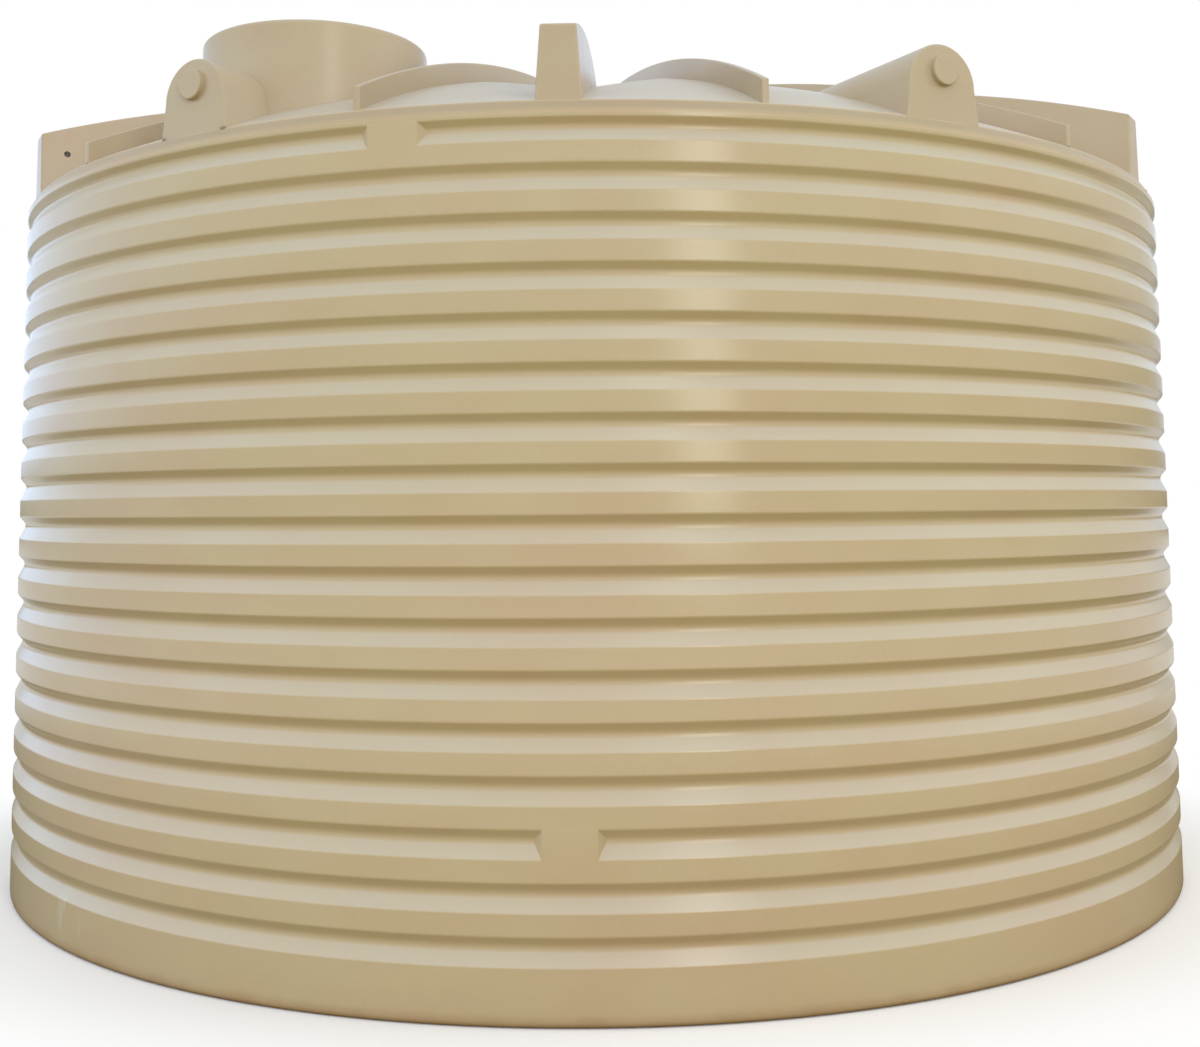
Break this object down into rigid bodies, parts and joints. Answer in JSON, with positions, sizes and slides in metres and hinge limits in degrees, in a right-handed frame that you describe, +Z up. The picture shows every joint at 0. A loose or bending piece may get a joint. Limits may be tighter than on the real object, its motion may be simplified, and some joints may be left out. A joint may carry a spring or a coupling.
{
  "type": "rainwater tank",
  "caption": "Round corrugated polyethylene rainwater tank with a domed, ribbed roof, moulded lifting fins and lugs, and an open inlet neck near the rim.",
  "frame": {"origin": "centre of the flat underside, on the ground", "axes": "+Z up the tank's axis; -Y is the front, with the outlet pad and a lifting fin; the neck is front left"},
  "size_m": [3.6, 3.6, 2.4232],
  "materials": {
    "polyethylene": "cream rotationally moulded polyethylene with a soft sheen"
  },
  "bodies": {
    "root": {"tank_floor": "polyethylene", "inlet_neck": "polyethylene", "wall_segment_01": "polyethylene", "wall_segment_02": "polyethylene", "wall_segment_03": "polyethylene", "wall_segment_04": "polyethylene", "wall_segment_05": "polyethylene", "wall_segment_06": "polyethylene", "wall_segment_07": "polyethylene", "wall_segment_08": "polyethylene", "wall_segment_09": "polyethylene", "wall_segment_10": "polyethylene", "wall_segment_11": "polyethylene", "wall_segment_12": "polyethylene", "roof_segment_1": "polyethylene", "roof_segment_2": "polyethylene", "roof_segment_3": "polyethylene", "roof_segment_4": "polyethylene", "roof_segment_5": "polyethylene", "roof_segment_6": "polyethylene", "lifting_fin_1": "polyethylene", "lifting_fin_2": "polyethylene", "lifting_fin_3": "polyethylene", "lifting_fin_4": "polyethylene", "lifting_fin_5": "polyethylene", "lifting_fin_6": "polyethylene", "lifting_lug_1": "polyethylene", "lifting_lug_2": "polyethylene", "lifting_lug_3": "polyethylene", "lifting_lug_4": "polyethylene", "lifting_lug_5": "polyethylene", "lifting_lug_6": "polyethylene", "roof_rib_01": "polyethylene", "roof_rib_02": "polyethylene", "roof_rib_03": "polyethylene", "roof_rib_04": "polyethylene", "roof_rib_05": "polyethylene", "roof_rib_06": "polyethylene", "roof_rib_07": "polyethylene", "roof_rib_08": "polyethylene", "roof_rib_09": "polyethylene", "roof_rib_10": "polyethylene", "roof_rib_11": "polyethylene", "roof_rib_12": "polyethylene"}
  },
  "joints": []
}
